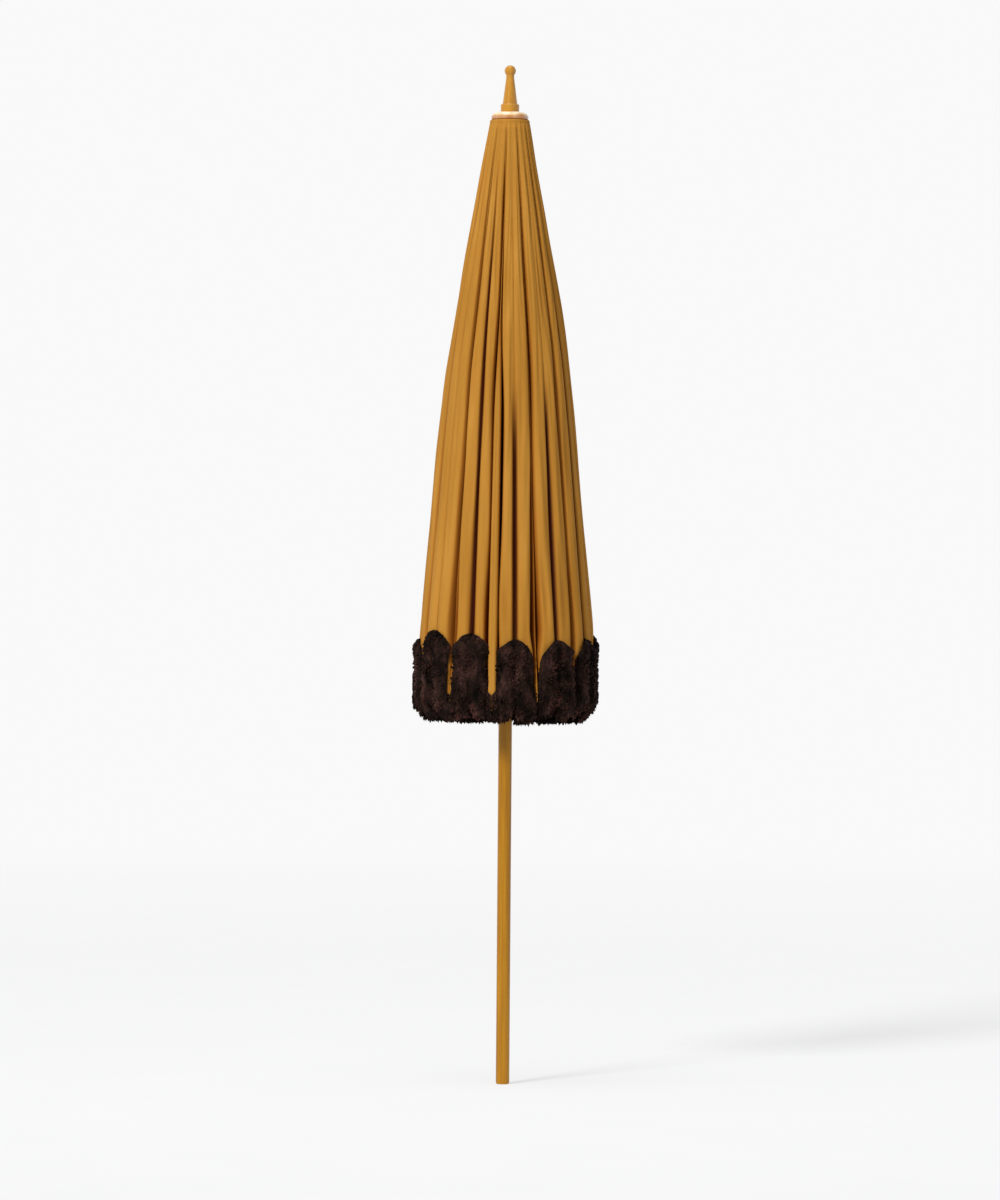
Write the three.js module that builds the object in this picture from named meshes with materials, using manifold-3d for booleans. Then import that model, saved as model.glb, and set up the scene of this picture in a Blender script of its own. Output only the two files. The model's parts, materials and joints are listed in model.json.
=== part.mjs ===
// A tall garden parasol of the many-ribbed kind, closed, standing on its pole.
// Millimetres, +Z up. The origin is the centre of the pole's foot.
// Twelve slightly bowed wooden ribs hang from a notched hub. Twelve stretchers join them to a notched
// runner that slides on the pole. Each rib carries a left and a right half gore of the canopy,
// and a half gore's outer half is a leaf that swings out from the rib as the parasol opens.
import * as THREE from 'three';
import { mergeVertices } from 'three/addons/utils/BufferGeometryUtils.js';
import Module from 'manifold-3d';

const wasm = await Module();
wasm.setup();

// ---- driving dimensions ----
const GORES = 12;
const FIRST_RIB = -84;                 // degrees from +X, seen from above
const HALF_GORE = 180 / GORES;
const GAP = 0.3;

const HEIGHT = 2400;
const POLE_R = 16;
const POLE_TOP = 2246;
const FOOT_ROUND = 4;

const HUB = { r: 42, core: 28, bottom: 2222, top: 2266, wireR: 36, slot: 7.8 };
const HINGE = { r: HUB.wireR, z: 2256 };
const WIRE = 1.25;                     // radius of the tie wires
const CHANNEL = 1.65;                  // radius of the channels that hold them

// A rib leans out by one angle above its knee and by a smaller one below, with a smooth bow between.
const RIB = { width: 7, depth: 12, fall: 1198, upper: 9.6, lower: 4.75, knee: 556, bow: 90 };
const LUG = { at: 560, drop: 11.5, width: 12.4, inside: 6.7, half: 13, deep: 17 };

const STRETCHER = { width: 6, depth: 8, length: 590, endR: 32, pinR: 1.8 };
const RUNNER = { r: 40, wireR: 25.9, up: 20, down: 22, gripR: 25, grip: 38, bore: 16.6 };
const OPENING = 61;                    // degrees that a rib swings out
const LOCK = { r: 4.2, holeR: 4.6, tail: 27, reach: 30, headR: 5.4, head: 6, rib: 3 };
const HUB_PIN = { r: 2, half: 38, z: 2232 };
const DOWEL = { r: 5, bottom: 2246.8, top: 2318 };

const CAP = { r: 44.5, topR: 30.5, bottom: 2270.4, top: 2289 };
const CROWN = { r: 43, bottom: HUB.top + GAP, top: 2270.1 };
const FINIAL = { collarR: 22, collarTop: 2308, coneR: 17.5, neckR: 9.6, neckTop: 2376, ballR: 13.6 };

// The leaf lies between the seam at mid gore and the valley of the fold. Each of the two lines is
// given by its radius and height at the top and at the hem.
const LEAF = {
  thick: 2, clear: 0.4, margin: 4,
  top: 200, hem: 1300, belly: 1395,      // distances along the seam
  valleyShare: 0.75,                     // where the valley is, from the rib to the seam
  seamTop: [41, 2262], seamEnd: [189, 1062],
  valleyTop: [43, 2262], valleyEnd: [72, 1058],
};

// ---- materials ----
const finish = (colour, roughness, metalness = 0) => () =>
  new THREE.MeshStandardMaterial({ color: colour, roughness, metalness });
const stainedWood = finish(0xb07a24, 0.5);
const glossyWood = finish(0xcd8c2d, 0.3);
const bamboo = finish(0xb98a4a, 0.55);
const ochreCloth = finish(0xb87d30, 0.85);
const brass = finish(0xb5924c, 0.35, 1);
const steelWire = finish(0x9a9a96, 0.4, 1);

// ---- helpers ----
const rad = THREE.MathUtils.degToRad;

function solid(geometry) {
  const g = geometry.clone();
  g.deleteAttribute('normal');
  g.deleteAttribute('uv');
  const m = mergeVertices(g, 1e-4);
  return new wasm.Manifold(new wasm.Mesh({
    numProp: 3,
    vertProperties: new Float32Array(m.attributes.position.array),
    triVerts: new Uint32Array(m.index.array),
  }));
}

function shape(manifold) {
  const mesh = manifold.getMesh();
  const g = new THREE.BufferGeometry();
  g.setAttribute('position', new THREE.BufferAttribute(new Float32Array(mesh.vertProperties), 3));
  g.setIndex(new THREE.BufferAttribute(new Uint32Array(mesh.triVerts), 1));
  g.computeVertexNormals();
  return g;
}

// A turned piece: the profile is a list of [radius, height] from the bottom to the top.
function turned(profile, sides = 32) {
  const g = new THREE.LatheGeometry(profile.map(([r, z]) => new THREE.Vector2(r, z)), sides);
  return solid(g.rotateX(Math.PI / 2));
}

function bar(radius, from, to, sides = 16) {
  const g = new THREE.CylinderGeometry(radius, radius, to - from, sides);
  return solid(g.rotateZ(Math.PI / 2).translate((from + to) / 2, 0, 0));
}

function block(x0, x1, y0, y1, z0, z1) {
  const g = new THREE.BoxGeometry(x1 - x0, y1 - y0, z1 - z0);
  return solid(g.translate((x0 + x1) / 2, (y0 + y1) / 2, (z0 + z1) / 2));
}

function ring(radius, tube, z, sides = 6, around = 36) {
  return solid(new THREE.TorusGeometry(radius, tube, sides, around).translate(0, 0, z));
}

// A flat bar with round ends along a line of points in the X-Z plane, from the top end down.
function strip(points, halfDepth, width, steps = 4) {
  const last = points.length - 1;
  const heading = (k) => {
    const from = points[Math.max(k - 1, 0)];
    const to = points[Math.min(k + 1, last)];
    return Math.atan2(to.y - from.y, to.x - from.x);
  };
  const beside = (k, side) => new THREE.Vector2(
    points[k].x - side * halfDepth * Math.sin(heading(k)),
    points[k].y + side * halfDepth * Math.cos(heading(k)),
  );
  const s = new THREE.Shape();
  const start = heading(0);
  const end = heading(last);
  s.absarc(points[0].x, points[0].y, halfDepth, start + Math.PI / 2, start + 1.5 * Math.PI, false);
  for (let k = 1; k < last; k += 1) s.lineTo(beside(k, -1).x, beside(k, -1).y);
  s.absarc(points[last].x, points[last].y, halfDepth, end - Math.PI / 2, end + Math.PI / 2, false);
  for (let k = last - 1; k > 0; k -= 1) s.lineTo(beside(k, 1).x, beside(k, 1).y);
  s.closePath();
  const g = new THREE.ExtrudeGeometry(s, { depth: width, bevelEnabled: false, curveSegments: steps });
  return solid(g.translate(0, 0, -width / 2).rotateX(Math.PI / 2));
}

const parasol = new THREE.Group();

function add(parent, name, geometry, material) {
  const mesh = new THREE.Mesh(geometry, material());
  mesh.name = name;
  parent.add(mesh);
  return mesh;
}

const number = (i) => String(i + 1).padStart(2, '0');
const ribTurn = (i) => rad(FIRST_RIB + (360 / GORES) * i);

// ---- linkage at rest ----
const slopes = [Math.tan(rad(RIB.upper)), Math.tan(rad(RIB.lower))];
const bend = (fall) => (fall - RIB.knee + Math.hypot(fall - RIB.knee, RIB.bow)) / 2;
// The rib's centre line: its distance from the pole's axis at a fall below the hinge.
const ribPoint = (fall) => new THREE.Vector2(
  HINGE.r + slopes[0] * fall - (slopes[0] - slopes[1]) * (bend(fall) - bend(0)),
  HINGE.z - fall,
);
const ribTilt = (fall) => {
  const step = ribPoint(fall + 1).sub(ribPoint(fall - 1));
  return Math.atan2(step.x, -step.y);
};
const hinge = new THREE.Vector2(HINGE.r, HINGE.z);
const lugTilt = ribTilt(LUG.at);
const lugRest = ribPoint(LUG.at)
  .add(new THREE.Vector2(-Math.cos(lugTilt), -Math.sin(lugTilt)).multiplyScalar(LUG.drop));
const lugAt = (angle) => {
  const place = lugRest.clone().rotateAround(hinge, angle);
  return { r: place.x, z: place.y };
};
const leanAt = (place) => Math.asin((place.r - STRETCHER.endR) / STRETCHER.length);
const runnerAt = (place) => place.z - STRETCHER.length * Math.cos(leanAt(place));
const lug = lugAt(0);
const lean = leanAt(lug);
const runnerZ = runnerAt(lug);
const travel = runnerAt(lugAt(rad(OPENING))) - runnerZ;
const gripBottom = runnerZ - RUNNER.down - RUNNER.grip;
const lockZ = gripBottom - LOCK.r - 0.6;

// ---- pole ----
const footArc = [0, 1, 2, 3].map((k) => {
  const a = rad(30 * k);
  return [POLE_R - FOOT_ROUND + FOOT_ROUND * Math.sin(a), FOOT_ROUND - FOOT_ROUND * Math.cos(a)];
});
const lockTurn = rad(FIRST_RIB + (360 / GORES) * LOCK.rib);
const crossHole = (r, turn, z, sides) => bar(r, -60, 60, sides)
  .rotate([0, 0, THREE.MathUtils.radToDeg(turn)]).translate([0, 0, z]);
const hubPinTurn = rad(FIRST_RIB + HALF_GORE);
const pole = turned([[0, 0], ...footArc, [POLE_R, POLE_TOP], [0, POLE_TOP]])
  .subtract(crossHole(LOCK.holeR, lockTurn, lockZ, 20))
  .subtract(crossHole(LOCK.holeR, lockTurn, lockZ + travel, 20))
  .subtract(crossHole(HUB_PIN.r + GAP, hubPinTurn, HUB_PIN.z, 10));
add(parasol, 'pole', shape(pole), stainedWood);

// ---- top hub, notched for the ribs ----
let hub = turned([
  [POLE_R + GAP, HUB.bottom], [HUB.r - 3, HUB.bottom], [HUB.r, HUB.bottom + 3],
  [HUB.r, HUB.top - 2], [HUB.r - 2, HUB.top], [DOWEL.r + GAP, HUB.top],
  [DOWEL.r + GAP, POLE_TOP + GAP], [POLE_R + GAP, POLE_TOP + GAP], [POLE_R + GAP, HUB.bottom],
]);
for (let i = 0; i < GORES; i += 1) {
  const notch = block(HUB.core, 60, -HUB.slot / 2, HUB.slot / 2, 2200, HINGE.z + 7.4);
  hub = hub.subtract(notch.rotate([0, 0, FIRST_RIB + (360 / GORES) * i]));
}
hub = hub.subtract(ring(HUB.wireR, CHANNEL, HINGE.z))
  .subtract(crossHole(HUB_PIN.r + GAP, hubPinTurn, HUB_PIN.z, 10));
add(parasol, 'top_hub', shape(hub), stainedWood);
add(parasol, 'top_hub_wire', shape(ring(HUB.wireR, WIRE, HINGE.z)), steelWire);

const hubPin = add(parasol, 'hub_pin', shape(bar(HUB_PIN.r, -HUB_PIN.half, HUB_PIN.half, 10)), steelWire);
hubPin.rotation.z = hubPinTurn;
hubPin.position.z = HUB_PIN.z;

// ---- crown, cap disc, finial and the dowel through them ----
add(parasol, 'canopy_crown', shape(turned([
  [DOWEL.r + GAP, CROWN.bottom], [CROWN.r, CROWN.bottom], [CROWN.r, CROWN.top],
  [DOWEL.r + GAP, CROWN.top], [DOWEL.r + GAP, CROWN.bottom],
])), ochreCloth);

const shoulder = [0, 1, 2, 3, 4, 5].map((k) => {
  const a = rad(18 * k);
  return [
    CAP.topR + (CAP.r - CAP.topR) * Math.cos(a),
    CAP.bottom + 4.5 + (CAP.top - CAP.bottom - 4.5) * Math.sin(a),
  ];
});
add(parasol, 'cap_disc', shape(turned([
  [DOWEL.r + GAP, CAP.bottom], [CAP.r - 3.5, CAP.bottom], [CAP.r - 0.8, CAP.bottom + 1.8],
  ...shoulder, [DOWEL.r + GAP, CAP.top], [DOWEL.r + GAP, CAP.bottom],
])), glossyWood);

const ballZ = HEIGHT - FINIAL.ballR;
const ballStart = Math.asin(FINIAL.neckR / FINIAL.ballR);
const ball = [0, 1, 2, 3, 4, 5, 6, 7].map((k) => {
  const a = ballStart + ((Math.PI - ballStart) * k) / 7;
  return [FINIAL.ballR * Math.sin(a), ballZ - FINIAL.ballR * Math.cos(a)];
});
ball[7][0] = 0;
const finialBase = CAP.top + GAP;
add(parasol, 'finial', shape(turned([
  [DOWEL.r + GAP, finialBase], [FINIAL.collarR - 1, finialBase],
  [FINIAL.collarR, finialBase + 2], [FINIAL.collarR, FINIAL.collarTop - 2],
  [FINIAL.collarR - 1.5, FINIAL.collarTop], [FINIAL.coneR, FINIAL.collarTop],
  [FINIAL.neckR, FINIAL.neckTop - 6], ...ball,
  [0, DOWEL.top + 0.5], [DOWEL.r + GAP, DOWEL.top + 0.5], [DOWEL.r + GAP, finialBase],
])), glossyWood);

const dowel = new THREE.CylinderGeometry(DOWEL.r, DOWEL.r, DOWEL.top - DOWEL.bottom, 24);
add(parasol, 'finial_dowel', dowel.rotateX(Math.PI / 2)
  .translate(0, 0, (DOWEL.top + DOWEL.bottom) / 2), stainedWood);

// ---- runner, notched for the stretchers ----
let runner = turned([
  [RUNNER.bore, gripBottom], [RUNNER.gripR - 2, gripBottom], [RUNNER.gripR, gripBottom + 2],
  [RUNNER.gripR, runnerZ - RUNNER.down], [RUNNER.r - 2, runnerZ - RUNNER.down],
  [RUNNER.r, runnerZ - RUNNER.down + 2], [RUNNER.r, runnerZ + RUNNER.up - 3],
  [RUNNER.r - 3, runnerZ + RUNNER.up], [RUNNER.bore, runnerZ + RUNNER.up],
  [RUNNER.bore, gripBottom],
]);
for (let i = 0; i < GORES; i += 1) {
  const notch = block(RUNNER.gripR + 0.4, 60, -HUB.slot / 2, HUB.slot / 2,
    runnerZ - RUNNER.down - 5, runnerZ + RUNNER.up + 5);
  runner = runner.subtract(notch.rotate([0, 0, FIRST_RIB + (360 / GORES) * i]));
}
runner = runner.subtract(ring(RUNNER.wireR, CHANNEL, runnerZ));
add(parasol, 'runner', shape(runner), stainedWood);
add(parasol, 'runner_wire', shape(ring(RUNNER.wireR, WIRE, runnerZ)), steelWire);

// ---- peg that holds the runner, in the lower hole ----
const peg = turned([
  [0, -LOCK.tail], [LOCK.r - 1.2, -LOCK.tail], [LOCK.r, -LOCK.tail + 3], [LOCK.r, LOCK.reach],
  [LOCK.headR - 1, LOCK.reach], [LOCK.headR, LOCK.reach + 1.5],
  [LOCK.headR, LOCK.reach + LOCK.head - 1.5], [LOCK.headR - 1.5, LOCK.reach + LOCK.head],
  [0, LOCK.reach + LOCK.head],
], 20);
const lockPin = add(parasol, 'lock_pin', shape(peg.rotate([0, 90, 0])), brass);
lockPin.rotation.z = lockTurn;
lockPin.position.z = lockZ;

// ---- ribs ----
const sideHalf = LUG.width / 2;
const kneeSteps = [-1.6, -0.8, -0.25, 0.25, 0.8, 1.6].map((k) => RIB.knee + k * RIB.bow);
const ribLine = [0, ...kneeSteps, RIB.fall].map(ribPoint);
// Cuts and cheeks at the lug are placed from its pivot, square to the rib there.
const atLug = (m) => m.rotate([0, -THREE.MathUtils.radToDeg(lugTilt), 0]).translate([lug.r, 0, lug.z]);
const ribFace = LUG.drop - RIB.depth / 2;
const ribBar = strip(ribLine, RIB.depth / 2, RIB.width)
  .add(atLug(block(ribFace - LUG.deep, LUG.drop + 3, -sideHalf, sideHalf, -LUG.half, LUG.half)))
  .subtract(atLug(block(-LUG.deep * 2, ribFace, -LUG.inside / 2, LUG.inside / 2,
    -LUG.half - 5, LUG.half + 5)))
  .subtract(atLug(bar(STRETCHER.pinR + GAP, -20, 20, 12).rotate([0, 0, 90])))
  .subtract(bar(CHANNEL + 0.2, -20, 20, 12).rotate([0, 0, 90]).translate([HINGE.r, 0, HINGE.z]));

// ---- stretchers ----
// Drawn hanging straight down from the pin, then leaned in to the runner.
const stretcherLine = [new THREE.Vector2(0, 0), new THREE.Vector2(0, -STRETCHER.length)];
const stretcherBar = strip(stretcherLine, STRETCHER.depth / 2, STRETCHER.width)
  .add(bar(STRETCHER.pinR, -sideHalf + GAP, sideHalf - GAP, 12).rotate([0, 0, 90]));

// ---- canopy leaves ----
const spot = ([r, z], degrees) =>
  new THREE.Vector3(r * Math.cos(rad(degrees)), r * Math.sin(rad(degrees)), z);

function leaf(side) {
  const seam = spot(LEAF.seamTop, side * HALF_GORE);
  const down = spot(LEAF.seamEnd, side * HALF_GORE).sub(seam).normalize();
  const valleyTurn = side * HALF_GORE * LEAF.valleyShare;
  const valley = spot(LEAF.valleyTop, valleyTurn);
  const valleyEnd = spot(LEAF.valleyEnd, valleyTurn);
  const valleyDown = valleyEnd.clone().sub(valley).normalize();
  const across = valleyEnd.clone().sub(seam);
  across.addScaledVector(down, -across.dot(down)).normalize();
  // Distance from the seam to the valley, at a distance along the seam.
  const span = (along) => {
    const t = along / valleyDown.dot(down);
    return valley.clone().addScaledVector(valleyDown, t).sub(seam).dot(across);
  };
  const s = new THREE.Shape();
  s.moveTo(LEAF.top, LEAF.margin);
  s.lineTo(LEAF.belly, LEAF.margin);
  s.quadraticCurveTo(LEAF.belly - 10, span(LEAF.hem) * 0.6, LEAF.hem, span(LEAF.hem) - LEAF.margin);
  s.lineTo(LEAF.top, span(LEAF.top) - LEAF.margin);
  s.closePath();
  const g = new THREE.ExtrudeGeometry(s, {
    depth: LEAF.thick, bevelEnabled: false, curveSegments: 5,
  }).translate(0, 0, side > 0 ? -LEAF.clear - LEAF.thick : LEAF.clear);
  const turn = new THREE.Matrix4().makeBasis(down, across, down.clone().cross(across));
  return g.applyMatrix4(turn).translate(seam.x, seam.y, seam.z);
}

for (let i = 0; i < GORES; i += 1) {
  const gore = new THREE.Group();
  gore.rotation.z = ribTurn(i);
  parasol.add(gore);

  add(gore, `rib_${number(i)}`, shape(ribBar), bamboo);

  const stretcher = add(gore, `stretcher_${number(i)}`, shape(stretcherBar), bamboo);
  stretcher.position.set(lug.r, 0, lug.z);
  stretcher.rotation.y = lean;

  add(gore, `canopy_${number(i)}_left`, leaf(-1), ochreCloth);
  add(gore, `canopy_${number(i)}_right`, leaf(1), ochreCloth);
}

export default parasol;
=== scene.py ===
"""A tall garden parasol, closed: its cloth, trim, finishes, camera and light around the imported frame.

Each rib carries a left and a right half gore of cloth. A half gore is one continuous sheet that runs
from the slit at its rib, over a rounded lobe, deep in to a valley and back out to the seam at mid gore.
Millimetres are used for the cloth's shape, and metres for everything that Blender gets.
"""
import json
import math

import bpy
import numpy as np
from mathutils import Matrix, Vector


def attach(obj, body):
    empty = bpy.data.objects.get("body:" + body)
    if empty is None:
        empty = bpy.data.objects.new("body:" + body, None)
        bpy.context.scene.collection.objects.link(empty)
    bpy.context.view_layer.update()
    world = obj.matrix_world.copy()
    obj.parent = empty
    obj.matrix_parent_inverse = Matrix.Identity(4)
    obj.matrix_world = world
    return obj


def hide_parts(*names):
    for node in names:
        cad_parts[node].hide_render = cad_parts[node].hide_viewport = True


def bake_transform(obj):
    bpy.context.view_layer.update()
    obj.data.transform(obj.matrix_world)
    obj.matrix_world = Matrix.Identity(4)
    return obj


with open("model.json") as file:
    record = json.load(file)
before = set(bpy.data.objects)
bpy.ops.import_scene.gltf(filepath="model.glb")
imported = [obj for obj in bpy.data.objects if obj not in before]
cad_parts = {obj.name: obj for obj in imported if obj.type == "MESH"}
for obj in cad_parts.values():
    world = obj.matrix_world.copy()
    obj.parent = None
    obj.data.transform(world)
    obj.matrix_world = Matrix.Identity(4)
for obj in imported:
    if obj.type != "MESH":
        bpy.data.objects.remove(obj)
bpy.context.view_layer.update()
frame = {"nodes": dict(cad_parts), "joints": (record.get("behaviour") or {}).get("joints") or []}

MM = 0.001
SEED = 11
joints = {j["name"]: j for j in frame["joints"]}

# ---- what the frame says about the ribs and the leaves ----
GORES = 12
HALF_GORE = 180 / GORES
hinge = joints["rib_01_tilt"]
OPENING = math.radians(hinge["range_deg"][1])
HINGE_R = math.hypot(*hinge["pos_m"][:2]) / MM
HINGE_Z = hinge["pos_m"][2] / MM


def number(i):
    return f"{i + 1:02d}"


def rib_turn(i):
    """The direction of rib i, in radians from +X."""
    x, y = joints[f"rib_{number(i)}_tilt"]["pos_m"][:2]
    return math.atan2(y, x)


def turned(points, angle):
    """Points turned about the pole's axis."""
    c, s = math.cos(angle), math.sin(angle)
    x, y, z = np.moveaxis(np.asarray(points, float), -1, 0)
    return np.stack([c * x - s * y, s * x + c * y, z], -1)


LEAF_HINGE = joints["canopy_01_right_unfold"]
LEAF_SWING = math.radians(LEAF_HINGE["range_deg"][1])
leaf_axis = turned(LEAF_HINGE["axis"], -rib_turn(0))
leaf_point = turned(LEAF_HINGE["pos_m"], -rib_turn(0)) / MM

# ---- the closed canopy's outline, in millimetres ----
TOP_Z = 2262            # where the cloth starts, under the collar
TIP_Z = 1058            # the ribs' lower ends
KNEE_Z = 1700
TOP_R = 46.2            # outline radius at TOP_Z
SLOPE_TOP = math.tan(math.radians(10.0))
SLOPE_LOW = math.tan(math.radians(5.2))
BOW = 90                # how gradually the outline changes slope at the knee
RIB_TOP_R = 42.6        # radius of the cloth where it lies on a rib, at TOP_Z
RIB_SLOPE_TOP = math.tan(math.radians(9.6))
RIB_SLOPE_LOW = math.tan(math.radians(4.75))

SLIT_MAX = 15           # depth of the slit over a rib, at most
VALLEY_TOP_R = 43       # radius of the valley in the folds, at TOP_Z
VALLEY_TIP_R = 72       # and at TIP_Z
SEAM_FLARE = 0.045      # how much more the seam leans out below the rib tips, so that the open hem closes
NOTCH_L = 1262          # length of the cloth at a rib, from its top
HEM_L = 1402            # length of the cloth at mid gore
SCALLOP = 14.0          # how square the scallops are
TRIM = 50               # width of the trim along the hem
ROWS_L = np.concatenate([np.linspace(0, 1180, 84), np.linspace(1190, 1450, 27)])
LATTICE = 97            # columns of the fine lattice over a half gore
RIPPLE = 0.075          # width of a small ripple, as a share of the half gore's width
STEADY_L = 90           # above this length, all of the seam takes the same share of the swing


def bent(fall, slope_top, slope_low, knee):
    """Radius gained at a fall below the top, along a line that eases from one slope to another."""
    def ease(s):
        return (s - knee + np.hypot(s - knee, BOW)) / 2
    return slope_top * fall - (slope_top - slope_low) * (ease(fall) - ease(0.0))


def smooth(edge0, edge1, x):
    t = np.clip((x - edge0) / (edge1 - edge0), 0, 1)
    return t * t * (3 - 2 * t)


def outline(z):
    """Radius of the folds' crests. Below the rib tips the cloth hangs free and draws in a little."""
    r = TOP_R + bent(TOP_Z - z, SLOPE_TOP, SLOPE_LOW, TOP_Z - KNEE_Z)
    return r - 10 * smooth(1090, 900, z) - 44 * smooth(915, 840, z)


def rib_line(z):
    """Radius of the cloth where it lies on a rib."""
    fall = TOP_Z - z
    return RIB_TOP_R + bent(fall, RIB_SLOPE_TOP, RIB_SLOPE_LOW, TOP_Z - KNEE_Z)


def waves(z, key, count=3, longest=900):
    """A slow, repeatable waver between about -1 and 1 along the height."""
    r = np.random.default_rng([SEED, key])
    total = np.zeros_like(z)
    for k in range(count):
        length = longest / (1 + 0.9 * k)
        total += np.sin(2 * math.pi * z / length + r.uniform(0, 6.3)) / (1 + k)
    return total / 1.5


# How the folds differ round the canopy, by rib or by seam (seam i is between rib i and rib i + 1).
SHUT = {10: 0.8, 7: 0.5, 4: 0.45}               # how far a rib's slit closes up
LATE = {0: 1700, 1: 1742, 5: 1650, 8: 1730}     # ribs whose slit only opens below this height
LATE_RAMP = 260                                 # the height it takes to open
PROUD = {11: 1.0, 6: 0.7, 3: 0.9}               # seams that come out between the lobes as a fold
WIDE = {0: 1.0, 7: 0.7, 4: 0.6, 10: 0.5}        # seams that gape above the hem
# Ribs whose slit stands open wider low down.
GAPING = {9: 0.5, 11: 0.9, 0: 0.5, 1: 0.8, 2: 0.6, 6: 0.7, 3: 0.5}


def seam_of(i, side):
    return i if side > 0 else (i - 1) % GORES


def half_of(i, side):
    """The number of a half gore, counted round the canopy."""
    return 2 * i + (side > 0)


def section_keys(i, side, z):
    """The folded section's key points, from the rib to the seam, as (degrees, radius) for every height."""
    seam, half = seam_of(i, side), half_of(i, side)
    crest = outline(z)
    free = smooth(1075, 1010, z)                       # 1 where the cloth hangs below the rib tips
    down = smooth(TOP_Z, 2120, z)                      # 0 at the top, where the cloth is smooth
    fall = np.maximum(TOP_Z - z, 0)

    # the slit over the rib
    slit = (crest - rib_line(z)) * (0.92 + 0.08 * waves(z, 10 + i))
    slit *= 0.06 + 0.94 * smooth(2230, 2040, z)
    slit *= 1 - SHUT.get(i, 0) * smooth(TOP_Z, 1900, z)
    if i in LATE:
        slit *= 0.22 + 0.78 * smooth(LATE[i], LATE[i] - LATE_RAMP, z)
    slit = np.minimum(slit, SLIT_MAX) * (1 - 0.25 * free)
    base = crest - slit
    near = 2.0 + 0.7 * waves(z, 100 + half) * down     # where the lobe starts, in degrees
    near = near * (1 - 0.2 * free) + 0.5 * SHUT.get(i, 0)
    near += 0.9 * GAPING.get(i, 0) * smooth(1500, 1150, z) * (1 - free)

    # the lobe
    proud = PROUD.get(seam, 0) * smooth(1900, 1560, z)
    wide = WIDE.get(seam, 0) * smooth(1320, 1070, z) * (1 - free)
    far = 12.9 + 1.0 * waves(z, 200 + half) * down - 3.1 * proud - 2.4 * wide
    far = np.clip(far, 8.6, 13.5) + 0.5 * (1 - down)   # where the lobe ends, in degrees
    swell = 1 + 2.0 * waves(z, 300 + half, longest=700) * down
    lean = 1.3 * waves(z, 400 + half) * down
    corner = np.minimum(7.0, 0.06 * crest) * (0.2 + 0.8 * down)

    # the valley, which grows in gradually from the top
    valley = VALLEY_TOP_R + (VALLEY_TIP_R - VALLEY_TOP_R) * (TOP_Z - z) / (TOP_Z - TIP_Z)
    valley = np.minimum(valley, crest - 1.6 - 1.8 * down)
    valley = np.maximum(valley, crest - (0.5 + 0.118 * fall + 0.0009 * fall**2))

    # the seam at mid gore
    seam_r = rib_line(z) - 2 + 3.5 * waves(z, 500 + seam) * down * smooth(1040, 1240, z)
    seam_r += (crest - 0.4 - seam_r) * (1 - smooth(2240, 2060, z))
    seam_r += SEAM_FLARE * np.maximum(TIP_Z - z, 0)
    seam_r = seam_r + proud * (crest + 1.0 - seam_r)
    seam_r = np.minimum(seam_r, crest + 2.0)
    ridge = HALF_GORE - 0.75 - 2.2 * proud + 0.3 * (1 - down)
    same = 0 * z
    return [
        (same, base),
        (0.30 * near, base + 0.06 * slit),
        (0.72 * near, base + 0.52 * slit),
        (1.25 * near, crest - 0.10 * slit),
        (near + 0.30 * (far - near), crest + swell + lean),
        (near + 0.62 * (far - near), crest + swell - lean),
        (far - 0.75, crest - 0.22 * corner),
        (far + 0.10, crest - 0.95 * corner),
        (far + 0.55, crest - 2.4 * corner),
        (far + 0.45, 0.55 * valley + 0.45 * crest),
        (same + 11.3, valley + 0.06 * (crest - valley)),
        (same + 12.0, valley),
        (same + 12.8, valley + 0.08 * (crest - valley)),
        (0.5 * (12.8 + ridge), 0.5 * valley + 0.5 * seam_r),
        (ridge - 0.15, seam_r - 1.6 * corner),
        (ridge + 0.25 - 0.25 * proud, seam_r - 0.45 * corner),
        (same + HALF_GORE, seam_r),
    ]


def through(keys, steps=14):
    """A smooth line through key points of unequal spacing. keys is (rows, points, 2)."""
    gap = np.linalg.norm(np.diff(keys, axis=1), axis=2) + 1e-6
    knot = np.concatenate([np.zeros((len(keys), 1)), np.cumsum(np.sqrt(gap), axis=1)], 1)
    h = np.diff(knot, axis=1)[..., None]
    slope = np.diff(keys, axis=1) / h
    tangent = np.empty_like(keys)
    tangent[:, 1:-1] = (slope[:, :-1] * h[:, 1:] + slope[:, 1:] * h[:, :-1]) / (h[:, 1:] + h[:, :-1])
    tangent[:, 0], tangent[:, -1] = slope[:, 0], slope[:, -1]
    u = np.linspace(0, 1, steps, endpoint=False)[None, None, :, None]
    a, b = keys[:, :-1, None], keys[:, 1:, None]
    ta, tb = (tangent[:, :-1] * h)[:, :, None], (tangent[:, 1:] * h)[:, :, None]
    line = ((2 * u**3 - 3 * u**2 + 1) * a + (u**3 - 2 * u**2 + u) * ta
            + (3 * u**2 - 2 * u**3) * b + (u**3 - u**2) * tb)
    line = line.reshape(len(keys), -1, 2)
    return np.concatenate([line, keys[:, -1:]], 1)


# Columns of the lattice, as shares of the cloth's width: closer together on the visible lobe.
share = np.linspace(0, 1, LATTICE)
U = 0.55 * share**2 + 0.45 * share


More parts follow.
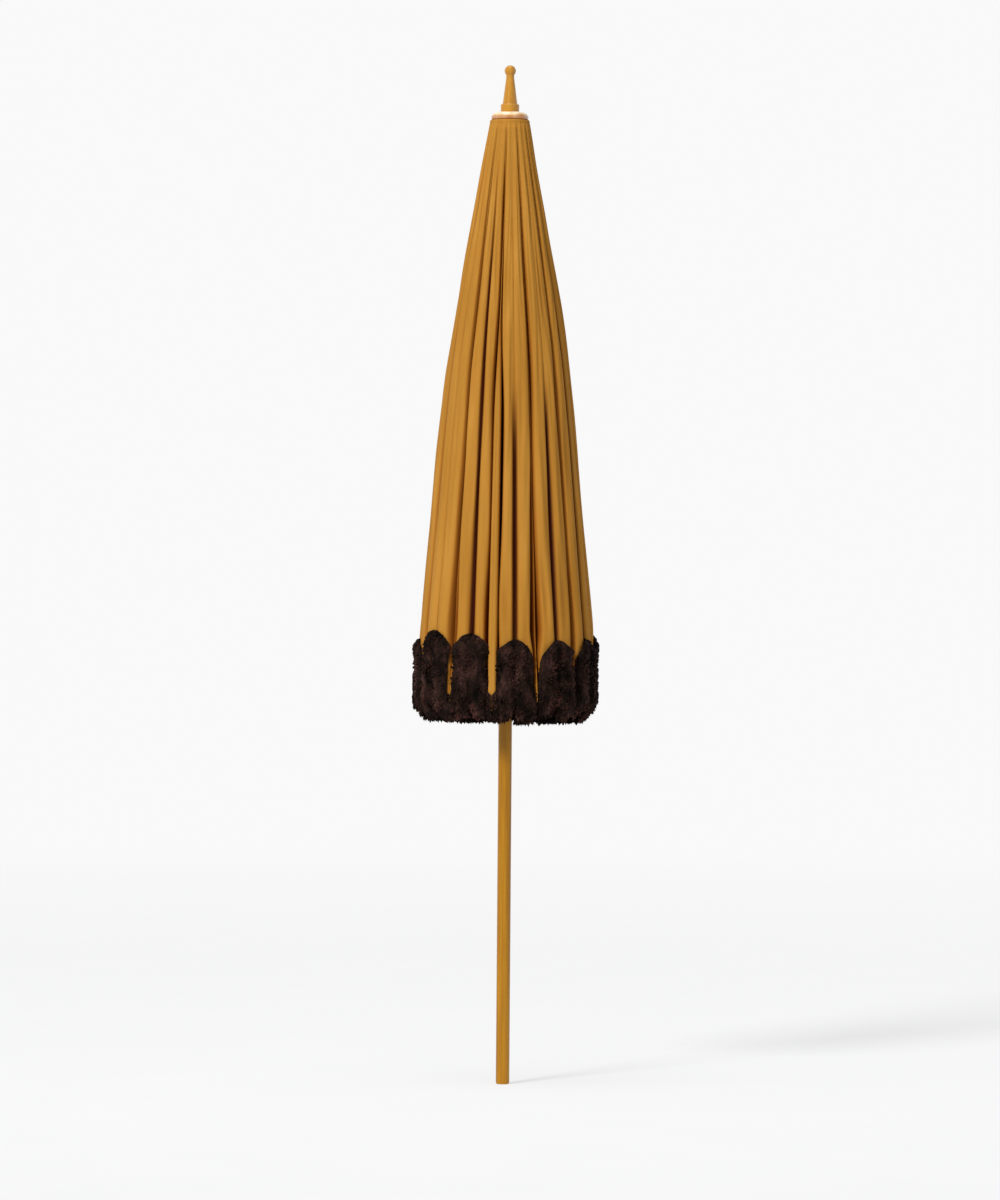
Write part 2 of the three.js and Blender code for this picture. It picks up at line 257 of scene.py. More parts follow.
def half_gore(i, side):
    """The folded half gore on a lattice of length and width: points in millimetres, x outward along
    the rib and y towards the seam, how deep in the folds each point is, and how open the slit over
    the rib is at each length, both from 0 to 1."""
    z = TOP_Z - 0.985 * ROWS_L
    for _ in range(2):                                 # the height at which the crest is that far down
        z = TOP_Z - np.sqrt(ROWS_L**2 - np.minimum(outline(z) - TOP_R, 0.9 * ROWS_L) ** 2)
    keys = section_keys(i, side, z)
    az = np.radians(np.stack([k[0] for k in keys], 1))
    r = np.stack([k[1] for k in keys], 1)
    line = through(np.stack([r * np.cos(az), r * np.sin(az)], 2))
    step = np.linalg.norm(np.diff(line, axis=1), axis=2)
    run = np.concatenate([np.zeros((len(z), 1)), np.cumsum(step, 1)], 1)
    points = np.empty((len(z), LATTICE, 3))
    for k in range(len(z)):
        for axis in (0, 1):
            points[k, :, axis] = np.interp(U * run[k, -1], run[k], line[k, :, axis])
    radius = np.hypot(points[..., 0], points[..., 1])
    gained = np.clip(radius - TOP_R, 0, 0.9 * ROWS_L[:, None])
    points[..., 2] = TOP_Z - np.sqrt(ROWS_L[:, None] ** 2 - gained ** 2)
    depth = np.clip((outline(z)[:, None] - radius) / 24, 0, 1)

    # small ripples that run down the lobe
    half = half_of(i, side)
    shift = 0.8 * waves(z, 600 + half, longest=1300)[:, None]
    ripple = np.sin(2 * math.pi * (U[None] / RIPPLE + shift))
    lobe = smooth(0.03, 0.07, U) * smooth(0.21, 0.15, U)
    amount = 0.55 + 0.35 * waves(z, 700 + half, longest=500)
    amount = (amount * (0.1 + 0.9 * smooth(2250, 2100, z)))[:, None]
    points[..., :2] *= (1 + ripple * lobe[None] * amount / radius)[..., None]
    open_slit = np.clip((outline(z) - radius[:, 0]) / (outline(z) - rib_line(z)), 0, 1)
    return points, depth, smooth(0.2, 0.95, open_slit)


def swung(points, share_of_swing):
    """Points of a right half gore turned about the leaf's axis by a share of its swing."""
    angle = (share_of_swing * LEAF_SWING)[..., None]
    p = points - leaf_point
    along = (p @ leaf_axis)[..., None] * leaf_axis
    return leaf_point + along + (p - along) * np.cos(angle) + np.cross(leaf_axis, p) * np.sin(angle)


def first_reach(measure, points, steps=61):
    """The first share of the swing at which measure(points) rises to zero, or where it is highest."""
    shares = np.linspace(0, 1, steps)
    values = np.stack([measure(swung(points, np.full(points.shape[:-1], s))) for s in shares])
    best = shares[values.argmax(0)]
    reached = values >= 0
    first = reached.argmax(0)
    before = np.maximum(first - 1, 0)
    a = np.take_along_axis(values, before[None], 0)[0]
    b = np.take_along_axis(values, first[None], 0)[0]
    part = np.clip(-a / np.maximum(b - a, 1e-9), 0, 1)
    crossing = shares[before] + (shares[first] - shares[before]) * part
    return np.where(reached.any(0), np.where(first == 0, 0, crossing), best)


def past_mid_gore(p):
    """How far a point is past the plane at mid gore once its rib is up, in millimetres."""
    out = HINGE_R + (p[..., 0] - HINGE_R) * math.cos(OPENING) - (p[..., 2] - HINGE_Z) * math.sin(OPENING)
    return p[..., 1] - math.tan(math.radians(HALF_GORE)) * out


def swing_shares(points):
    """How much of the leaf's swing each lattice point takes, so that the cloth opens to a taut gore."""
    rows, columns = points.shape[:2]
    at_seam = first_reach(past_mid_gore, points[:, -1])
    steady = np.argmin(np.abs(ROWS_L - STEADY_L))
    at_seam[:steady] = at_seam[steady]
    seam_open = swung(points[:, -1], at_seam)
    rib = points[:, 0]
    across = seam_open - rib
    down = np.gradient(rib, axis=0)
    normal = np.cross(across, down)
    normal /= np.linalg.norm(normal, axis=1)[:, None]
    normal *= np.sign(normal[:, :1])
    shares = first_reach(lambda p: ((p - rib[:, None]) * normal[:, None]).sum(2), points)
    radius = np.hypot(points[..., 0], points[..., 1])
    middle = slice(columns // 3, columns - 4)
    valley = radius[:, middle].argmin(1) + columns // 3
    valley = np.round(np.convolve(np.pad(valley, 4, mode="edge"), np.ones(9) / 9, "valid")).astype(int)
    for k in range(rows):
        v = valley[k]
        ramp = smooth(U[v] * 0.45, U[v], U)
        shares[k] += (at_seam[k] - shares[k, v]) * ramp
        shares[k, v:] = at_seam[k]
    shares = np.clip(shares, 0, 1)
    padded = np.pad(shares, ((3, 3), (0, 0)), mode="edge")
    return sum(padded[k:k + rows] for k in range(7)) / 7


def hem_length(u):
    """Length of the cloth, from its top to the hem, at a share of the half gore's width."""
    drop = (1 - (1 - np.clip(u, 0, 1)) ** SCALLOP) ** (1 / SCALLOP)
    return NOTCH_L + (HEM_L - NOTCH_L) * drop


def lattice_at(values, length, u):
    """Values on the lattice read at lengths and width shares."""
    row = np.clip(np.interp(length, ROWS_L, np.arange(len(ROWS_L))), 0, len(ROWS_L) - 1.001)
    column = np.clip(np.interp(u, U, np.arange(LATTICE)), 0, LATTICE - 1.001)
    j, k = row.astype(int), column.astype(int)
    a, b = row - j, column - k
    if values.ndim == 3:
        a, b = a[..., None], b[..., None]
    return ((1 - a) * (1 - b) * values[j, k] + (1 - a) * b * values[j, k + 1]
            + a * (1 - b) * values[j + 1, k] + a * b * values[j + 1, k + 1])


def lattice_normals(points):
    """Unit normals that point out of the folded canopy on the lobe."""
    n = np.cross(np.gradient(points, axis=1), np.gradient(points, axis=0))
    n /= np.linalg.norm(n, axis=2)[..., None] + 1e-12
    lobe = LATTICE // 6
    return n * np.sign(n[len(n) // 2, lobe, 0])


# ---- mesh helpers ----
def mesh_object(name, verts, faces, attributes=()):
    mesh = bpy.data.meshes.new(name)
    mesh.from_pydata([tuple(v) for v in verts], [], [tuple(f) for f in faces])
    for key, values in attributes:
        mesh.attributes.new(key, "FLOAT", "POINT").data.foreach_set("value", np.asarray(values, np.float32))
    mesh.shade_smooth()
    obj = bpy.data.objects.new(name, mesh)
    bpy.context.scene.collection.objects.link(obj)
    return obj


def grid_faces(rows, columns, flip=False):
    j, k = np.meshgrid(np.arange(rows - 1), np.arange(columns - 1), indexing="ij")
    a = (j * columns + k).ravel()
    faces = np.stack([a, a + 1, a + columns + 1, a + columns], 1)
    return faces[:, ::-1] if flip else faces


def placed(points, i, side):
    """Points of a right half gore on gore i, on either side, in metres."""
    return turned(points * [1, side, 1], rib_turn(i)) * MM


def set_shares(obj):
    """Bakes obj's placement into its mesh."""
    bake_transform(obj)


# ---- materials ----
class Nodes:
    """A small builder for a material's nodes."""

    def __init__(self, name):
        self.material = bpy.data.materials.new(name)
        self.material.use_nodes = True
        self.tree = self.material.node_tree
        self.shader = self.tree.nodes["Principled BSDF"]

    def add(self, kind, inputs=None, **settings):
        node = self.tree.nodes.new(kind)
        for key, value in settings.items():
            setattr(node, key, value)
        for key, value in (inputs or {}).items():
            if isinstance(value, bpy.types.NodeSocket):
                self.tree.links.new(value, node.inputs[key])
            else:
                node.inputs[key].default_value = value
        return node

    def place(self, scale=(1, 1, 1)):
        here = self.add("ShaderNodeTexCoord").outputs["Object"]
        return self.add("ShaderNodeMapping", {"Vector": here, "Scale": scale}).outputs["Vector"]

    def noise(self, scale, stretch=(1, 1, 1), detail=3.0, roughness=0.5):
        return self.add("ShaderNodeTexNoise", {
            "Vector": self.place(stretch), "Scale": scale, "Detail": detail, "Roughness": roughness,
        }).outputs["Fac"]

    def wave(self, scale, direction, distortion=0.0, detail=0.0):
        return self.add("ShaderNodeTexWave", {
            "Vector": self.place(), "Scale": scale, "Distortion": distortion, "Detail": detail,
        }, wave_type="BANDS", bands_direction=direction).outputs["Fac"]

    def ramp(self, factor, stops):
        node = self.add("ShaderNodeValToRGB", {"Fac": factor})
        elements = node.color_ramp.elements
        while len(elements) < len(stops):
            elements.new(0.5)
        for element, (at, colour) in zip(elements, stops):
            element.position = at
            element.color = (*linear(colour), 1)
        return node.outputs["Color"]

    def mix(self, factor, a, b, blend="MIX"):
        node = self.add("ShaderNodeMix", data_type="RGBA", blend_type=blend)
        for socket, value in (("Factor", factor), (6, a), (7, b)):
            target = node.inputs[socket]
            if isinstance(value, bpy.types.NodeSocket):
                self.tree.links.new(value, target)
            else:
                target.default_value = value
        return node.outputs[2]

    def math(self, operation, a, b=0.0):
        node = self.add("ShaderNodeMath", operation=operation)
        for k, value in enumerate((a, b)):
            if isinstance(value, bpy.types.NodeSocket):
                self.tree.links.new(value, node.inputs[k])
            else:
                node.inputs[k].default_value = value
        return node.outputs["Value"]

    def attribute(self, name):
        return self.add("ShaderNodeAttribute", attribute_name=name).outputs["Fac"]

    def bump(self, height, distance, strength=1.0):
        node = self.add("ShaderNodeBump", {"Height": height, "Distance": distance, "Strength": strength})
        self.tree.links.new(node.outputs["Normal"], self.shader.inputs["Normal"])

    def finish(self, colour, roughness, **sockets):
        for socket, value in {"Base Color": colour, "Roughness": roughness, **sockets}.items():
            if isinstance(value, bpy.types.NodeSocket):
                self.tree.links.new(value, self.shader.inputs[socket])
            else:
                self.shader.inputs[socket].default_value = value
        return self.material


def linear(colour):
    """A colour given as 0 to 255 sRGB, as the linear values that shaders use."""
    return [((c / 255 + 0.055) / 1.055) ** 2.4 if c > 10 else c / 255 / 12.92 for c in colour]


def cloth_material(name, deep=True):
    n = Nodes(name)
    streak = n.noise(26, (1, 1, 0.05), 4, 0.6)
    cloud = n.noise(7, (1, 1, 0.35), 3)
    mixed = n.math("ADD", n.math("MULTIPLY", streak, 0.6), n.math("MULTIPLY", cloud, 0.4))
    colour = n.ramp(mixed, [(0.30, (170, 116, 40)), (0.52, (185, 129, 49)), (0.72, (199, 143, 61))])
    if deep:
        # painted shade: the cloth is painted darker the deeper it lies in the folds
        shade = n.ramp(n.attribute("fold_depth"), [
            (0.0, (255, 255, 255)), (0.2, (240, 226, 208)), (0.6, (212, 180, 146)), (1.0, (200, 162, 124))])
        colour = n.mix(1.0, colour, shade, "MULTIPLY")
        # painted shade in the slit over each rib: dark brown where the slit stands open
        line = n.ramp(n.attribute("rib_line"), [(0.0, (255, 255, 255)), (1.0, (92, 46, 24))])
        colour = n.mix(1.0, colour, line, "MULTIPLY")
    weft = n.wave(420, "Z", 1.2, 1)
    warp = n.noise(900, (1, 1, 0.02), 1)
    n.bump(n.math("ADD", n.math("MULTIPLY", weft, 0.5), n.math("MULTIPLY", warp, 0.6)), 0.0004, 0.35)
    rough = n.ramp(n.noise(60), [(0.3, (205, 205, 205)), (0.7, (228, 228, 228))])
    return n.finish(colour, rough, **{"Specular IOR Level": 0.08})


def pile_material(name):
    n = Nodes(name)
    patch = n.noise(34, (1, 1, 0.6), 4, 0.6)
    fine = n.noise(260, (1, 1, 0.5), 2)
    mixed = n.math("ADD", n.math("MULTIPLY", patch, 0.75), n.math("MULTIPLY", fine, 0.25))
    colour = n.ramp(mixed, [
        (0.35, (12, 9, 8)), (0.48, (38, 27, 22)), (0.58, (66, 45, 39)), (0.73, (106, 74, 68))])
    # painted shade from the attribute: darker at the tufts' roots, on the band's inner skin and deep in the
    # folds; the reddish tips are the pile's own colour
    tip = n.ramp(n.attribute("pile_tip_and_shade"), [
        (0.0, (78, 70, 66)), (0.5, (235, 232, 230)), (1.0, (255, 214, 214))])
    colour = n.mix(1.0, colour, tip, "MULTIPLY")
    n.bump(fine, 0.001, 0.5)
    return n.finish(colour, n.ramp(patch, [(0.3, (235, 235, 235)), (0.7, (215, 215, 215))]),
                    **{"Specular IOR Level": 0.03})


def wood_material(name, dark, mid, light, rough=(110, 150), grain=1.0, coat=0.0, coat_rough=0.1):
    n = Nodes(name)
    bands = n.noise(95 * grain, (1, 1, 0.035), 5, 0.6)
    pores = n.noise(620 * grain, (1, 1, 0.02), 2, 0.5)
    figure = n.noise(9, (1, 1, 0.25), 3)
    mixed = n.math("ADD", n.math("MULTIPLY", bands, 0.6),
                   n.math("ADD", n.math("MULTIPLY", pores, 0.15), n.math("MULTIPLY", figure, 0.25)))
    colour = n.ramp(mixed, [(0.34, dark), (0.5, mid), (0.66, light)])
    n.bump(n.math("ADD", n.math("MULTIPLY", bands, 0.5), n.math("MULTIPLY", pores, 0.5)), 0.0003, 0.3)
    roughness = n.ramp(bands, [(0.3, (rough[0],) * 3), (0.7, (rough[1],) * 3)])
    return n.finish(colour, roughness, **{
        "Specular IOR Level": 0.25, "Coat Weight": coat, "Coat Roughness": coat_rough})


def cap_material(name):
    """Lacquered wood, brown along a wavering line at the rim, with a painted highlight that makes it pale
    over the crown.
    """
    n = Nodes(name)
    place = n.add("ShaderNodeTexCoord").outputs["Generated"]
    up = n.add("ShaderNodeSeparateXYZ", {"Vector": place}).outputs["Z"]
    waver = n.noise(22, (1, 1, 0.2), 2)
    # painted highlight: paler the higher up the cap, with a wavering edge
    highlight_level = n.math("ADD", up, n.math("MULTIPLY", n.math("SUBTRACT", waver, 0.5), 0.9))
    grain = n.noise(90, (1, 1, 0.1), 4)
    colour = n.ramp(highlight_level, [(0.30, (186, 110, 24)), (0.48, (216, 150, 62)), (0.64, (252, 232, 190))])
    colour = n.mix(0.25, colour, n.ramp(grain, [(0.35, (200, 138, 60)), (0.65, (250, 232, 196))]))
    return n.finish(colour, n.ramp(grain, [(0.3, (50, 50, 50)), (0.7, (78, 78, 78))]),
                    **{"Coat Weight": 1.0, "Coat Roughness": 0.05})


def metal_material(name, dark, light):
    n = Nodes(name)
    wear = n.noise(140, (1, 1, 1), 4)
    colour = n.ramp(wear, [(0.35, dark), (0.65, light)])
    n.bump(n.noise(700), 0.0001, 0.3)
    return n.finish(colour, n.ramp(wear, [(0.3, (90, 90, 90)), (0.7, (140, 140, 140))]), Metallic=1.0)


cloth = cloth_material("ochre_cloth")
cloth_plain = cloth_material("ochre_cloth_collar", deep=False)
pile = pile_material("dark_pile")
finishes = {
    "stained_wood": wood_material("stained_wood", (146, 92, 8), (174, 118, 14), (192, 136, 28)),
    "glossy_wood": wood_material(
        "glossy_wood", (170, 108, 10), (196, 134, 18), (212, 154, 36), (70, 100), 0.8, 0.45, 0.12),
    "lacquered_cap": cap_material("lacquered_cap"),
    "bamboo": wood_material(
        "bamboo", (150, 106, 52), (190, 146, 84), (212, 172, 108), (120, 160), 1.3),
    "brass": metal_material("brass", (150, 112, 52), (206, 170, 98)),
    "steel_wire": metal_material("steel_wire", (112, 112, 110), (176, 176, 172)),
}
SLOTS = {
    "pole": "stained_wood", "top_hub": "stained_wood", "runner": "stained_wood",
    "finial_dowel": "stained_wood", "finial": "glossy_wood", "cap_disc": "lacquered_cap",
    "lock_pin": "brass",
    "top_hub_wire": "steel_wire", "runner_wire": "steel_wire", "hub_pin": "steel_wire",
}
for name, node in frame["nodes"].items():
    slot = "bamboo" if name.startswith(("rib_", "stretcher_")) else SLOTS.get(name)
    if slot:
        node.data.materials.clear()
        node.data.materials.append(finishes[slot])

# ---- cloth and trim ----
ROWS, COLUMNS = 92, 58
V = np.linspace(0, 1, ROWS)
W = np.linspace(0, 1, COLUMNS)
W = 0.6 * W**2 + 0.4 * W
CLOTH_THICK = 0.9
CLOTH_SHORT = 14        # the cloth ends this far above the trim's lower edge
FLAT_W = 330.0          # the flat width that the trim is laid out on

BAND_STEPS, BAND_RINGS = 72, 9      # points along the trim's band and across it
NAP = 10.5              # how far the band stands out of the cloth
BACKING = 1.6           # how far it reaches in behind the cloth's face
BULGE_Z, DIP_Z = 1026, 985          # where a band stands out more, and where less
DROOP_TOP, DROOP_END = 960, 900     # the band's lower end hangs unevenly between these heights
LONG_TONGUES = 0.3      # share of the half gores where the cloth shows far down beside the trim
TRIM_R = 223            # the trim's outermost radius
TUFTS = 620             # tufts on a half gore's trim
TUFT_REACH = (7, 12.5)
TUFT_HALF = (2.4, 4.2)  # half the width of a tuft at its root
TUFT_SHADE = np.array([0.2] * 4 + [0.6] * 4 + [1.0])    # painted shade at its root, its waist and its tip: darkest at the root
TUFT_FACES = [(0, 1, 5, 4), (1, 2, 6, 5), (2, 3, 7, 6), (3, 0, 4, 7),
              (4, 5, 8), (5, 6, 8), (6, 7, 8), (7, 4, 8)]


def make_cloth(i, side, points, depth, slit, shares):
    """The cloth of a half gore, and the share of the leaf's swing of each of its points."""
    u = np.broadcast_to(W, (ROWS, COLUMNS))
    length = V[:, None] * (hem_length(u) - CLOTH_SHORT)
    p = lattice_at(points, length, u)
    # how strongly the slit over the rib is painted dark as shade, carried in the rib_line attribute
    painted_slit_shade = smooth(0.05, 0.012, u) * smooth(60, 400, length) * np.interp(length, ROWS_L, slit)
    obj = mesh_object(
        f"cloth_{number(i)}_{'right' if side > 0 else 'left'}",
        placed(p.reshape(-1, 3), i, side), grid_faces(ROWS, COLUMNS, side > 0),
        [("fold_depth", lattice_at(depth, length, u).ravel()), ("rib_line", painted_slit_shade.ravel())])
    obj.data.materials.append(cloth)
    thick = obj.modifiers.new("thickness", "SOLIDIFY")
    thick.thickness = CLOTH_THICK * MM
    thick.offset = -1
    return obj, lattice_at(shares, length, u)


def trim_edge():
    """Places along the trim's lower edge, from the arch over the rib to mid gore, each with its way in
    from the edge, in flat cloth: millimetres of width and of length."""
    fan = np.radians(np.linspace(90, 0, BAND_STEPS // 5, endpoint=False))
    u = np.linspace(0, 1, 400) ** 2
    edge = np.stack([u * FLAT_W, hem_length(u)], 1)
    run = np.concatenate([[0], np.cumsum(np.linalg.norm(np.diff(edge, axis=0), axis=1))])
    at = np.linspace(0, run[-1], BAND_STEPS - len(fan))
    edge = np.stack([np.interp(at, run, edge[:, 0]), np.interp(at, run, edge[:, 1])], 1)
    along = np.gradient(edge, axis=0)
    along /= np.linalg.norm(along, axis=1)[:, None]
    inward = np.stack([along[:, 1], -along[:, 0]], 1)
    arch = np.stack([np.cos(fan), -np.sin(fan)], 1)
    return np.concatenate([np.repeat(edge[:1], len(fan), 0), edge]), np.concatenate([arch, inward])


def at_flat(values, spot):
    """Values on the lattice read at spots in flat cloth."""
    return lattice_at(values, spot[..., 1], np.clip(spot[..., 0] / FLAT_W, 0, 1))


def band_breadth(r, i):
    """How broad the trim is along its edge: longer legs, an uneven arch and a point at mid gore."""
    way_round = np.linspace(0, 1, BAND_STEPS)
    leg = smooth(0.10, 0.42, way_round) * smooth(0.66, 0.5, way_round)
    extra = r.uniform(10, 26) if r.uniform() > LONG_TONGUES else r.uniform(-8, 0)
    arch = np.random.default_rng([SEED, 40 + i]).uniform(-12, 10)   # the same on both sides of a rib
    point = r.uniform(20, 34) * np.exp(-((way_round - 0.966) / 0.018) ** 2)
    return TRIM + leg * extra + arch * smooth(0.26, 0.08, way_round) + point


def band_rise(r, height):
    """How far the band stands out of the cloth at points of the given heights."""
    steps, rings = np.arange(BAND_STEPS), np.arange(BAND_RINGS)
    puff = np.sin(np.linspace(0.12, 1, BAND_RINGS) * math.pi * 0.94) ** 0.6
    along = np.sin(0.55 * steps + r.uniform(0, 6))[:, None]
    across = np.sin(1.1 * rings + r.uniform(0, 6))[None]
    small = np.sin(1.9 * steps + r.uniform(0, 6))[:, None]
    lumps = 1 + 0.3 * along * across + 0.25 * small
    rise = NAP * puff[None] * lumps + r.normal(0, 0.7, (BAND_STEPS, BAND_RINGS))
    bulge = r.uniform(2, 7) * np.exp(-((height - BULGE_Z) / 15) ** 2)
    dip = r.uniform(0, 4) * np.exp(-((height - DIP_Z) / 16) ** 2)
    return (rise + (bulge - dip))[..., None]


def make_tufts(r, start, inward, breadth, points, normals, shares, depth):
    """Tufts: four-sided tapered blades that lean towards the trim's edge, each with four points at its
    root, four at its waist and one at its tip. Gives the points, their shades and their shares."""
    along = r.uniform(0, 1, TUFTS) * (BAND_STEPS - 1)
    j = np.minimum(along.astype(int), BAND_STEPS - 2)
    out = r.uniform(0, 1, TUFTS) ** 1.25 * breadth[j]
    out[: TUFTS // 4] = r.uniform(-1, 5, TUFTS // 4)       # a quarter of them stand on the edge
    f = (along - j)[:, None]
    foot = start[j] * (1 - f) + start[j + 1] * f
    way = inward[j] * (1 - f) + inward[j + 1] * f
    spot = foot + out[:, None] * way
    root, normal, weight = (at_flat(v, spot) for v in (points, normals, shares))
    to_edge = at_flat(points, spot - 6 * way) - root
    to_edge[:, 2] -= 1.5
    to_edge /= np.linalg.norm(to_edge, axis=1)[:, None] + 1e-9
    reach = r.uniform(*TUFT_REACH, TUFTS)[:, None]
    lean = r.normal(0, 0.35, (TUFTS, 3))
    direction = 0.75 * normal + 0.8 * to_edge + lean
    direction /= np.linalg.norm(direction, axis=1)[:, None]
    sideways = np.cross(direction, normal + 0.01)
    sideways /= np.linalg.norm(sideways, axis=1)[:, None] + 1e-9
    lift = np.cross(sideways, direction)
    half = r.uniform(*TUFT_HALF, TUFTS)[:, None]
    lifted = 8.0 * np.sin(np.clip(out / breadth[j], 0.05, 0.95) * math.pi)[:, None] ** 0.6
    root = root + normal * lifted
    middle = root + normal * 1.0 + direction * reach * 0.5
    tip = middle + (direction * 0.8 + to_edge * 0.4) * reach * 0.5
    sides = [sideways * math.cos(a) + lift * 0.7 * math.sin(a)
             for a in (k * math.pi / 2 for k in range(4))]
    blade = np.stack([root + s * half for s in sides] + [middle + s * half * 0.8 for s in sides] + [tip], 1)
    tone = r.uniform(-0.2, 0.2, TUFTS)[:, None]
    # a random tone, made darker deep in the folds as painted shade
    tone = tone - 0.8 * smooth(0.12, 0.5, at_flat(depth, spot))[:, None]
    return blade.reshape(-1, 3), (TUFT_SHADE + tone).ravel(), np.repeat(weight, len(TUFT_SHADE))


def trim_faces(side):
    """Faces of the band's outer skin, of its inner skin and of the tufts."""
    count = BAND_STEPS * BAND_RINGS
    faces = grid_faces(BAND_STEPS, BAND_RINGS, side > 0).tolist()
    faces += (grid_faces(BAND_STEPS, BAND_RINGS, side < 0) + count).tolist()
    order = 1 if side > 0 else -1
    for k in range(TUFTS):
        at = 2 * count + len(TUFT_SHADE) * k
        faces += [[at + q for q in face][::order] for face in TUFT_FACES]
    return faces


def make_trim(i, side, points, normals, shares, depth):
    """The trim of a half gore: a thick napped band with tufts standing out of it."""
    r = np.random.default_rng([SEED, 900 + half_of(i, side)])
    start, inward = trim_edge()
    breadth = band_breadth(r, i)
    across = np.linspace(0, 1, BAND_RINGS)
    flat = start[:, None] + (across[None] * breadth[:, None])[..., None] * inward[:, None]
    p, n, share = (at_flat(v, flat) for v in (points, normals, shares))
    outer, inner = p + n * band_rise(r, p[..., 2]), p - n * BACKING
    # painted shade: the band and its tufts are darker deep in the folds, and the band's inner skin is
    # darker than its outer skin
    sunk = smooth(0.12, 0.6, at_flat(depth, flat)).ravel()
    tufts, tuft_shade, tuft_shares = make_tufts(
        r, start, inward, breadth, points, normals, shares, depth)
    verts = np.concatenate([outer.reshape(-1, 3), inner.reshape(-1, 3), tufts])
    shade = np.concatenate([0.35 - 0.5 * sunk, 0.2 - 0.3 * sunk, tuft_shade])
    verts[:, 2] += r.uniform(-8, 5) * smooth(DROOP_TOP, DROOP_END, verts[:, 2])
    radius = np.hypot(verts[:, 0], verts[:, 1])
    limit = TRIM_R - 3 * np.exp((TRIM_R - radius) / 6).clip(0, 1)   # eases in over the last 3 mm
    verts[:, :2] *= np.minimum(1, limit / radius)[:, None]
    obj = mesh_object(
        f"trim_{number(i)}_{'right' if side > 0 else 'left'}",
        placed(verts, i, side), trim_faces(side), [("pile_tip_and_shade", np.clip(shade, 0, 1))])
    obj.data.materials.append(pile)
    return obj, np.concatenate([share.ravel(), share.ravel(), tuft_shares])


for i in range(GORES):
    for side, word in ((-1, "left"), (1, "right")):
        points, depth, slit = half_gore(i, side)
        shares = swing_shares(points)
        rib, leaf = f"rib_{number(i)}", f"canopy_{number(i)}_{word}"
        sheet, sheet_shares = make_cloth(i, side, points, depth, slit, shares)
        trim, trim_shares = make_trim(i, side, points, lattice_normals(points), shares, depth)
        set_shares(sheet)
        set_shares(trim)
        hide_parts(leaf)

# ---- collar that holds the cloth's top under the cap ----
COLLAR_TOP, COLLAR_LOW = 2270.2, 2260.5
COLLAR_IN = COLLAR_TOP - 2.6    # the underside of its top
AROUND = 240


def make_collar():
    turn = np.linspace(0, 2 * math.pi, AROUND, endpoint=False)
    pleat = 0.25 * np.cos(turn * 48) + 0.15 * np.sin(turn * 24 + 1)
    profile = [(20, COLLAR_TOP), (43.6, COLLAR_TOP), (45.6, COLLAR_TOP - 0.5), (46.4, COLLAR_TOP - 4),
               (46.6, COLLAR_LOW + 1), (46.5, COLLAR_LOW), (45.4, COLLAR_LOW), (44.4, COLLAR_IN),
               (20, COLLAR_IN)]
    verts = []
    for r, z in profile:
        rr = r + pleat * (1 if r > 44 else 0)
        verts.append(np.stack([rr * np.cos(turn), rr * np.sin(turn), np.full(AROUND, z)], 1))
    faces = []
    for k in range(len(profile)):
        nxt = (k + 1) % len(profile)
        for a in range(AROUND):
            b = (a + 1) % AROUND
            faces.append((k * AROUND + a, nxt * AROUND + a, nxt * AROUND + b, k * AROUND + b))
    obj = mesh_object("cloth_collar", np.concatenate(verts) * MM, faces)
    obj.data.materials.append(cloth_plain)
    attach(obj, "pole")
    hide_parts("canopy_crown")


make_collar()

# ---- floor, light and camera ----
FLOOR_R = 14.0
FLOOR_GLOW = 0.5        # how much of the floor's paleness is its own, which keeps shadows faint
GLOW_STRENGTH = 1.26
BACKDROP = (249, 249, 249)
AMBIENT = (0.285, 0.285, 0.29, 1)
OVERHEAD_AT = Vector((-0.6, -1.0, 6.0))
OVERHEAD_AIM = Vector((0, 0, 1.2))
SUN_FROM = Vector((-0.46, -0.8, 0.5))
SUN_ANGLE = math.radians(14)
CAMERA_AT = (-0.0146, -14.0, 1.14)
LENS = 178.3
ROLL = 0.44             # degrees; the parasol leans a little to the right of upright

around = np.linspace(0, 2 * math.pi, 96, endpoint=False)
ring = [(FLOOR_R * math.cos(a), FLOOR_R * math.sin(a), 0) for a in around]
floor_mesh = bpy.data.meshes.new("floor")
floor_mesh.from_pydata(ring, [], [tuple(range(len(ring)))])
floor = bpy.data.objects.new("floor", floor_mesh)
bpy.context.scene.collection.objects.link(floor)


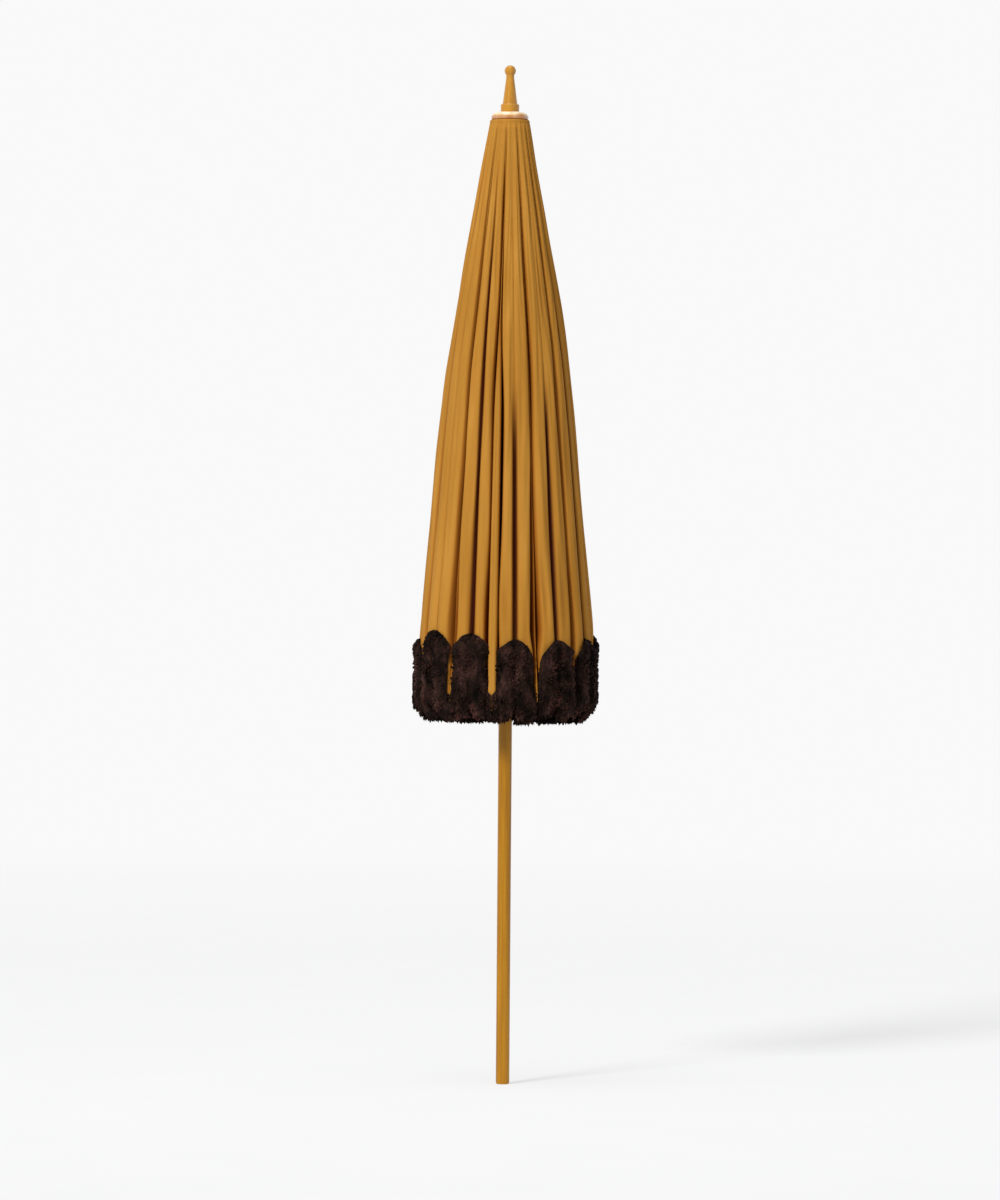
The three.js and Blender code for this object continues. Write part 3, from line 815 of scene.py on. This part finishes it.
def floor_material():
    """A pale floor that fades into the backdrop."""
    n = Nodes("pale_floor")
    place = n.add("ShaderNodeTexCoord").outputs["Object"]
    far = n.add("ShaderNodeVectorMath", {0: place}, operation="LENGTH").outputs["Value"]
    fade = n.ramp(n.math("DIVIDE", far, FLOOR_R), [(0.12, (0, 0, 0)), (0.9, (255, 255, 255))])
    grain = n.ramp(n.noise(3), [(0.3, (244, 245, 247)), (0.7, (248, 248, 249))])
    n.finish(grain, 0.95, **{"Specular IOR Level": 0.0})
    glow = n.add("ShaderNodeEmission", {"Color": (*linear(BACKDROP), 1), "Strength": GLOW_STRENGTH})
    clear = n.add("ShaderNodeBsdfTransparent")
    pale = n.add("ShaderNodeMixShader", {
        "Fac": FLOOR_GLOW, 1: n.shader.outputs["BSDF"], 2: glow.outputs["Emission"]})
    blend = n.add("ShaderNodeMixShader", {
        "Fac": fade, 1: pale.outputs["Shader"], 2: clear.outputs["BSDF"]})
    n.tree.links.new(blend.outputs["Shader"], n.tree.nodes["Material Output"].inputs["Surface"])
    return n.material


floor_mesh.materials.append(floor_material())

scene = bpy.context.scene
scene.view_settings.view_transform = "Standard"
world = bpy.data.worlds.new("studio")
scene.world = world
world.use_nodes = True
background = world.node_tree.nodes["Background"]
paths = world.node_tree.nodes.new("ShaderNodeLightPath")
seen = world.node_tree.nodes.new("ShaderNodeMath")      # the camera and gloss see the bright backdrop
seen.operation = "MAXIMUM"
world.node_tree.links.new(paths.outputs["Is Camera Ray"], seen.inputs[0])
world.node_tree.links.new(paths.outputs["Is Glossy Ray"], seen.inputs[1])
pick = world.node_tree.nodes.new("ShaderNodeMix")
pick.data_type = "RGBA"
world.node_tree.links.new(seen.outputs["Value"], pick.inputs["Factor"])
pick.inputs[6].default_value = AMBIENT
pick.inputs[7].default_value = (*linear(BACKDROP), 1)
world.node_tree.links.new(pick.outputs[2], background.inputs["Color"])


def add_light(name, kind, direction, energy, **settings):
    """A light that shines in a direction."""
    data = bpy.data.lights.new(name, kind)
    data.energy = energy
    for key, value in settings.items():
        setattr(data, key, value)
    obj = bpy.data.objects.new(name, data)
    scene.collection.objects.link(obj)
    obj.rotation_euler = direction.to_track_quat("-Z", "Y").to_euler()
    return obj


overhead = add_light("overhead", "AREA", OVERHEAD_AIM - OVERHEAD_AT, 60, size=3.0)
overhead.location = OVERHEAD_AT
add_light("key", "SUN", -SUN_FROM, 2.1, angle=SUN_ANGLE)

camera_data = bpy.data.cameras.new("camera")
camera_data.lens = LENS
camera_data.sensor_fit = "AUTO"
camera_data.sensor_width = 36
camera_data.clip_end = 200
camera = bpy.data.objects.new("camera", camera_data)
scene.collection.objects.link(camera)
camera.location = CAMERA_AT
camera.rotation_euler = (math.radians(90), -math.radians(ROLL), 0)
scene.camera = camera
